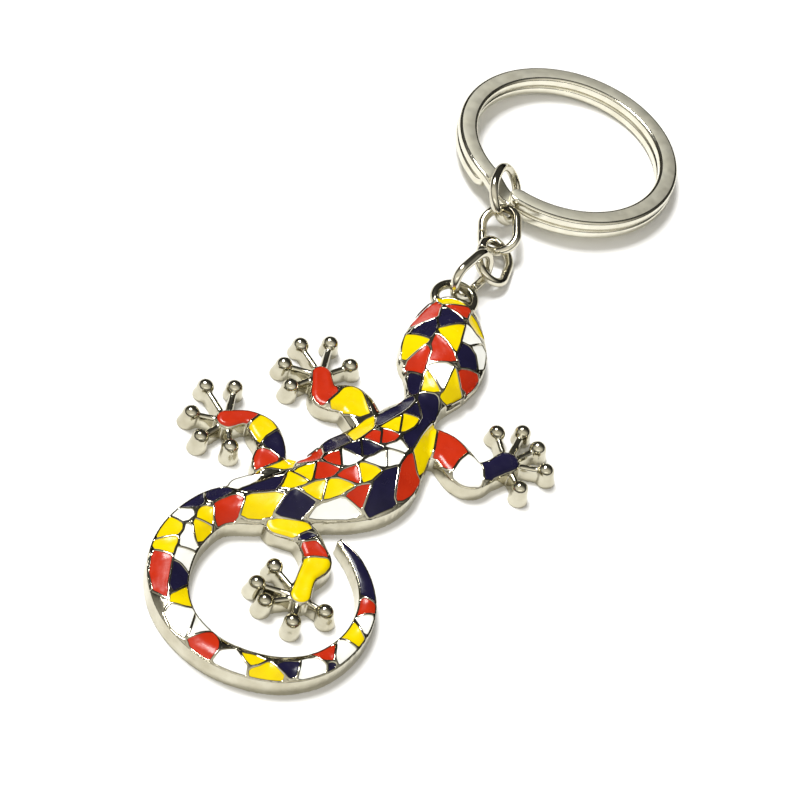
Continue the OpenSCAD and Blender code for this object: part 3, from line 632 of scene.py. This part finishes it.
def enamel_cell(loop, tree, seed):
    """Vertices and faces of one closed enamel cell: a dished top, upright sides and a floor."""
    lo, hi = loop.min(0), loop.max(0)
    xs = np.arange(lo[0], hi[0] + CELL_GRID, CELL_GRID)
    ys = np.arange(lo[1], hi[1] + CELL_GRID, CELL_GRID * 0.866)
    grid = np.array([(x + (CELL_GRID / 2 if k % 2 else 0), y) for k, y in enumerate(ys) for x in xs])
    grid = grid[inside_distance(loop, grid) > GRID_CLEAR]
    n = len(loop)
    tangent = np.roll(loop, -1, 0) - np.roll(loop, 1, 0)
    tangent /= np.linalg.norm(tangent, axis=1)[:, None]
    inward = np.stack([-tangent[:, 1], tangent[:, 0]], 1) * (1 if signed_area(loop) > 0 else -1)
    inner = loop + inward * 0.06
    inner = inner[inside_distance(loop, inner) > 0.05]
    flat, tris = triangulated(np.vstack([loop, inner, grid]), [(i, (i + 1) % n) for i in range(n)], True)
    depth = np.maximum(inside_distance(loop, flat), 0)
    widest = max(depth.max(), 0.2)
    z = np.maximum(height_over(tree, flat), LEG_WALL_H)
    z -= EDGE_SINK + MENISCUS * smoothstep(depth / MENISCUS_WIDTH) + DISH * smoothstep(depth / widest)
    tilt = np.random.default_rng(seed).normal(size=2) * CELL_TILT
    z = z + (flat - flat.mean(0)) @ tilt * smoothstep(depth / TILT_WIDTH)
    m = len(flat)
    verts = [(x * MM, y * MM, h * MM) for (x, y), h in zip(flat, z)]
    verts += [(x * MM, y * MM, (h - CELL_DEPTH) * MM) for (x, y), h in zip(flat, z)]
    faces = []
    for a, b, c in tris.tolist():
        faces += [(a, b, c), (a + m, c + m, b + m)]
    used = sides(tris)
    for a, b in used:
        if (b, a) not in used:
            faces.append((b, a, a + m))
            faces.append((b, a + m, b + m))
    return verts, faces


# ---------------------------------------------------------------- wire parts
def rotation(turns):
    x, y, z = (math.radians(a) for a in turns)
    return Matrix.Rotation(z, 3, "Z") @ Matrix.Rotation(y, 3, "Y") @ Matrix.Rotation(x, 3, "X")


def wire_link(node, at, turns, length, width):
    """A link of round wire with a butt seam in one long side."""
    end_r = (width - LINK_WIRE) / 2
    half = (length - width) / 2
    path = [(x, end_r) for x in np.linspace(SEAM_HALF, half, 6)]
    path += [(half + end_r * math.cos(a), end_r * math.sin(a))
             for a in np.linspace(math.pi / 2, -math.pi / 2, 41)[1:]]
    path += [(x, -end_r) for x in np.linspace(half, -half, 9)[1:]]
    path += [(-half + end_r * math.cos(a), end_r * math.sin(a))
             for a in np.linspace(-math.pi / 2, -3 * math.pi / 2, 41)[1:]]
    path += [(x, end_r) for x in np.linspace(-half, -SEAM_HALF, 6)[1:]]
    path = np.array(path)
    around = 24
    rings = []
    n = len(path)
    r = LINK_WIRE / 2
    for i in range(n):
        ahead = path[min(i + 1, n - 1)] - path[max(i - 1, 0)]
        side = np.array([-ahead[1], ahead[0]]) / np.hypot(*ahead)
        ring = [(*(path[i] + side * r * math.cos(a)), r * math.sin(a)) for a in angles(around)]
        if i in (0, n - 1):
            small_r = r * SEAM_ROUND[0]
            small = [(*(path[i] + side * small_r * math.cos(a)), small_r * math.sin(a))
                     for a in angles(around)]
            direction = np.sign(path[i][0])
            inset = [(x + direction * SEAM_ROUND[1], y, z) for x, y, z in ring]
            rings += [small, inset] if i == 0 else [inset, small]
        else:
            rings.append(ring)
    verts, faces = sweep_rings(rings)
    m = rotation(turns)
    verts = [(m @ Vector(v) + Vector(at)) * MM for v in verts]
    return new_mesh(node + "_wire", verts, faces)


def split_ring():
    """The whole split ring as one flat wire with rounded ends, wound from the lower to the upper coil."""
    upper = COIL_H + COIL_GAP
    mid_r = RING_OD / 2 - RING_W / 2
    tip = math.degrees(RING_W / 2 / mid_r)
    first = CROSSING[0] + 360 - END_SET_BACK
    last = CROSSING[1] + END_SET_BACK - 360
    stops = [first + tip * math.cos(a) for a in np.linspace(0.06, math.pi / 2, 10)]
    stops += list(np.linspace(first, last, RING_STEPS)[1:-1])
    stops += [last - tip * math.cos(a) for a in np.linspace(math.pi / 2, 0.06, 10)]
    section = []
    hw, hh = RING_W / 2, COIL_H / 2
    for cx, cz, start in ((1, 1, 0), (-1, 1, 90), (-1, -1, 180), (1, -1, 270)):
        for k in range(6):
            a = math.radians(start + 90 * k / 5)
            section.append((cx * (hw - RING_CORNER) + RING_CORNER * math.cos(a),
                            cz * (hh - RING_CORNER) + RING_CORNER * math.sin(a)))
    rings = []
    for s in stops:
        past = max(s - first, last - s, 0) / tip
        shrink = math.sqrt(max(1 - past * past, 0.0005))
        t = min(max((CROSSING[1] - s) / (CROSSING[1] - CROSSING[0]), 0), 1)
        level = upper * t * t * (3 - 2 * t)
        a = math.radians(s)
        ring = []
        for w, h in section:
            radial = mid_r + w * shrink
            ring.append((radial * math.cos(a), radial * math.sin(a), h + COIL_H / 2 + level))
        rings.append(ring)
    verts, faces = sweep_rings(rings)
    lean = math.radians(RING_LEAN)
    tilted = Matrix.Rotation(math.radians(RING_TILT), 3, "Y")
    m = Matrix.Rotation(lean, 3, "Z") @ tilted @ Matrix.Rotation(-lean, 3, "Z")
    at = Vector((RING_C[0], RING_C[1], RING_OD / 2 * math.sin(math.radians(RING_TILT))))
    verts = [(m @ Vector(v) + at) * MM for v in verts]
    return new_mesh("split_ring_wire", verts, [f[::-1] for f in faces])


# ---------------------------------------------------------------- materials
def material(name):
    mat = bpy.data.materials.new(name)
    mat.use_nodes = True
    nodes, links = mat.node_tree.nodes, mat.node_tree.links
    shader = next(n for n in nodes if n.type == "BSDF_PRINCIPLED")
    place = nodes.new("ShaderNodeTexCoord")
    return mat, nodes, links, shader, place


def noise(nodes, links, place, scale, detail=4.0, roughness=0.55):
    tex = nodes.new("ShaderNodeTexNoise")
    tex.inputs["Scale"].default_value = scale
    tex.inputs["Detail"].default_value = detail
    tex.inputs["Roughness"].default_value = roughness
    links.new(place.outputs["Object"], tex.inputs["Vector"])
    return tex.outputs["Fac"]


def ramp(nodes, links, source, low, high, start=0.3, end=0.7):
    """A ramp from low to high, which are greys or colours."""
    node = nodes.new("ShaderNodeValToRGB")
    node.color_ramp.elements[0].position = start
    node.color_ramp.elements[1].position = end
    node.color_ramp.elements[0].color = (*low, 1) if isinstance(low, tuple) else (low, low, low, 1)
    node.color_ramp.elements[1].color = (*high, 1) if isinstance(high, tuple) else (high, high, high, 1)
    links.new(source, node.inputs["Fac"])
    return node.outputs["Color"]


def bump(nodes, links, shader, source, strength, distance, below=None):
    node = nodes.new("ShaderNodeBump")
    node.inputs["Strength"].default_value = strength
    node.inputs["Distance"].default_value = distance
    links.new(source, node.inputs["Height"])
    if below is not None:
        links.new(below, node.inputs["Normal"])
    links.new(node.outputs["Normal"], shader.inputs["Normal"])
    return node.outputs["Normal"]


def nickel(name, base, dull, rough, bumpy):
    mat, nodes, links, shader, place = material(name)
    shader.inputs["Metallic"].default_value = 1.0
    tone = ramp(nodes, links, noise(nodes, links, place, 420.0), dull, base, 0.25, 0.7)
    links.new(tone, shader.inputs["Base Color"])
    polish = ramp(nodes, links, noise(nodes, links, place, 900.0, 6.0), rough[0], rough[1])
    links.new(polish, shader.inputs["Roughness"])
    below = bump(nodes, links, shader, noise(nodes, links, place, 260.0, 2.0), bumpy, 0.00012)
    bump(nodes, links, shader, noise(nodes, links, place, 2600.0, 5.0), 0.12, 0.00003, below)
    return mat


def enamel_material(name, base, deep):
    mat, nodes, links, shader, place = material(name)
    tone = ramp(nodes, links, noise(nodes, links, place, 300.0), deep, base, 0.2, 0.6)
    links.new(tone, shader.inputs["Base Color"])
    polish = ramp(nodes, links, noise(nodes, links, place, 700.0, 3.0), 0.16, 0.3)
    links.new(polish, shader.inputs["Roughness"])
    shader.inputs["Specular IOR Level"].default_value = 0.25
    shader.inputs["Coat Weight"].default_value = 0.08
    shader.inputs["Coat Roughness"].default_value = 0.1
    below = bump(nodes, links, shader, noise(nodes, links, place, 420.0, 2.0), 0.35, 0.00010)
    bump(nodes, links, shader, noise(nodes, links, place, 3000.0, 3.0), 0.08, 0.00003, below)
    return mat


def srgb(r, g, b):
    return tuple(c / 255 / 12.92 if c / 255 <= 0.04045 else ((c / 255 + 0.055) / 1.055) ** 2.4
                 for c in (r, g, b))


CASTING = nickel("casting_nickel", srgb(206, 202, 184), srgb(180, 174, 152), (0.08, 0.16), 0.25)
RING = nickel("ring_nickel", srgb(226, 223, 206), srgb(216, 212, 192), (0.44, 0.5), 0.04)
RING_EDGE = nickel("ring_edge_nickel", srgb(226, 223, 208), srgb(208, 204, 186), (0.08, 0.14), 0.08)
WIRE = nickel("link_nickel", srgb(218, 214, 198), srgb(196, 190, 170), (0.06, 0.13), 0.15)
ENAMEL = {
    "red": enamel_material("enamel_red", srgb(188, 46, 18), srgb(170, 36, 12)),
    "yellow": enamel_material("enamel_yellow", srgb(232, 206, 0), srgb(218, 188, 0)),
    "navy": enamel_material("enamel_navy", srgb(28, 25, 54), srgb(19, 17, 40)),
    "white": enamel_material("enamel_white", srgb(246, 246, 240), srgb(234, 234, 228)),
}

# ---------------------------------------------------------------- build
enamel_nodes = [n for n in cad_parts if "enamel" in n]
sharp = {n: cell_outlines(n) for n in enamel_nodes}
grown_cells = grown([loop for loops in sharp.values() for loop in loops])
outlines = {}
for n, loops in sharp.items():
    outlines[n], grown_cells = grown_cells[:len(loops)], grown_cells[len(loops):]
casting = remeshed(casting_soup())
mesh_edges = edge_array(casting.data)
points = coords(casting.data) / MM
moved_to(casting, relax(points, mesh_edges, 6, points[:, 2] < BACK_LAYER))
bm = bmesh.new()
bm.from_mesh(casting.data)
tree = BVHTree.FromBMesh(bm)
bm.free()
every_cell = [loop for loops in outlines.values() for loop in loops]
carve(casting, every_cell)
points = coords(casting.data) / MM
points = relax(points, mesh_edges, 1, points[:, 2] < BACK_LAYER)
points[:, 2] = np.maximum(points[:, 2], 0)
moved_to(casting, points)
thin = casting.modifiers.new("thin_out", "DECIMATE")
thin.ratio = min(1.0, CASTING_TRIANGLES / (2 * len(casting.data.polygons)))
casting = applied(casting)
ridges = new_mesh("casting_ridges", *ridge_network(every_cell, tree))
bm = bmesh.new()
bm.from_mesh(casting.data)
bm.from_mesh(ridges.data)
bm.to_mesh(casting.data)
bm.free()
bpy.data.objects.remove(ridges)
casting.data.polygons.foreach_set("use_smooth", [True] * len(casting.data.polygons))
casting.data.materials.clear()
casting.data.materials.append(CASTING)
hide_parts("gecko_casting")
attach(casting, "gecko")

for number, node in enumerate(enamel_nodes):
    verts, faces = [], []
    for k, loop in enumerate(outlines[node]):
        v, f = enamel_cell(loop, tree, 100 * number + k)
        base = len(verts)
        verts += v
        faces += [tuple(i + base for i in face) for face in f]
    piece = new_mesh(node + "_fill", verts, faces)
    hue = node.split("_")[-1]
    piece.data.materials.append(ENAMEL[hue])
    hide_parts(node)
    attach(piece, "gecko")

for node, (body, place, turns, length, width) in LINKS.items():
    piece = wire_link(node, place, turns, length, width)
    piece.data.materials.append(WIRE)
    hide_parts(node)
    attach(piece, body)

ring = split_ring()
ring.data.materials.append(RING)
ring.data.materials.append(RING_EDGE)
for polygon in ring.data.polygons:
    # The section's points 5 and 17 are the first of its two wide flat sides
    if polygon.index % RING_AROUND not in (5, 17):
        polygon.material_index = 1
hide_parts("split_ring")
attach(ring, "ring")

# ---------------------------------------------------------------- floor, light and camera
floor = new_mesh("floor", [(x, y, -0.00003) for x, y in ((-0.6, -0.6), (0.6, -0.6), (0.6, 0.6), (-0.6, 0.6))],
                 [(0, 1, 2, 3)])
mat, nodes, links, shader, place = material("floor_white")
links.new(ramp(nodes, links, noise(nodes, links, place, 40.0), 0.93, 0.95), shader.inputs["Base Color"])
shader.inputs["Roughness"].default_value = 0.9
floor.data.materials.append(mat)


def area_light(name, at, target, size, power):
    data = bpy.data.lights.new(name, "AREA")
    data.shape = "RECTANGLE"
    data.size, data.size_y = size
    data.energy = power
    obj = bpy.data.objects.new(name, data)
    bpy.context.scene.collection.objects.link(obj)
    obj.location = at
    obj.rotation_euler = (Vector(target) - Vector(at)).to_track_quat("-Z", "Y").to_euler()


CENTRE = (0, 0.005, 0)
area_light("key", (-0.5, 0.42, 1.34), CENTRE, (0.5, 0.5), 24)
area_light("front", (0.1, -0.55, 0.4), CENTRE, (0.6, 0.16), 0.3)
world = bpy.data.worlds.new("studio")
bpy.context.scene.world = world
world.use_nodes = True
wn, wl = world.node_tree.nodes, world.node_tree.links
sky = next(n for n in wn if n.type == "BACKGROUND")
coord = wn.new("ShaderNodeTexCoord")
split = wn.new("ShaderNodeSeparateXYZ")
wl.new(coord.outputs["Generated"], split.inputs["Vector"])


def sky_ramp(source, stops):
    band = wn.new("ShaderNodeValToRGB")
    elements = band.color_ramp.elements
    for position, grey in stops[1:-1]:
        elements.new(position)
    for element, (position, grey) in zip(elements, stops):
        element.position = position
        element.color = (grey, grey * 0.985, grey * 0.94, 1)
    wl.new(source, band.inputs["Fac"])
    return band.outputs["Color"]


# Bright in front at middle height, dark overhead, behind and along the horizon
from_front = wn.new("ShaderNodeMath")
from_front.operation = "MULTIPLY_ADD"
wl.new(split.outputs["Y"], from_front.inputs[0])
from_front.inputs[1].default_value = -0.5
from_front.inputs[2].default_value = 0.5
height = sky_ramp(split.outputs["Z"], [(0, 0.03), (0.2, 0.1), (0.4, 0.8), (0.85, 0.95), (1, 0.9)])
front = sky_ramp(from_front.outputs[0], [(0.3, 0.06), (0.5, 0.45), (0.65, 1), (1, 1)])
product = wn.new("ShaderNodeMix")
product.data_type = "RGBA"
product.blend_type = "MULTIPLY"
product.inputs["Factor"].default_value = 1
wl.new(height, product.inputs["A"])
wl.new(front, product.inputs["B"])
wl.new(product.outputs["Result"], sky.inputs["Color"])
sky.inputs["Strength"].default_value = 1.0

PHOTO_EL, PHOTO_ROLL, PHOTO_DISTANCE = 47.12, -17.2, 0.375
PHOTO_FOCAL = 3071.1 / 800 * 36
PHOTO_TARGET = Vector((-0.003, 0.001, 0))
el, roll = math.radians(PHOTO_EL), math.radians(PHOTO_ROLL)
back = Vector((0, -math.cos(el), math.sin(el)))
right = Vector((1, 0, 0))
up = back.cross(right)
right, up = (right * math.cos(roll) - up * math.sin(roll)), (right * math.sin(roll) + up * math.cos(roll))
data = bpy.data.cameras.new("camera")
data.sensor_width = 36
data.lens = PHOTO_FOCAL
data.clip_start = 0.01
camera = bpy.data.objects.new("camera", data)
bpy.context.scene.collection.objects.link(camera)
camera.matrix_world = Matrix.Translation(PHOTO_TARGET + back * PHOTO_DISTANCE) @ Matrix(
    (right, up, back)).transposed().to_4x4()
bpy.context.scene.camera = camera
bpy.context.scene.view_settings.view_transform = "Standard"
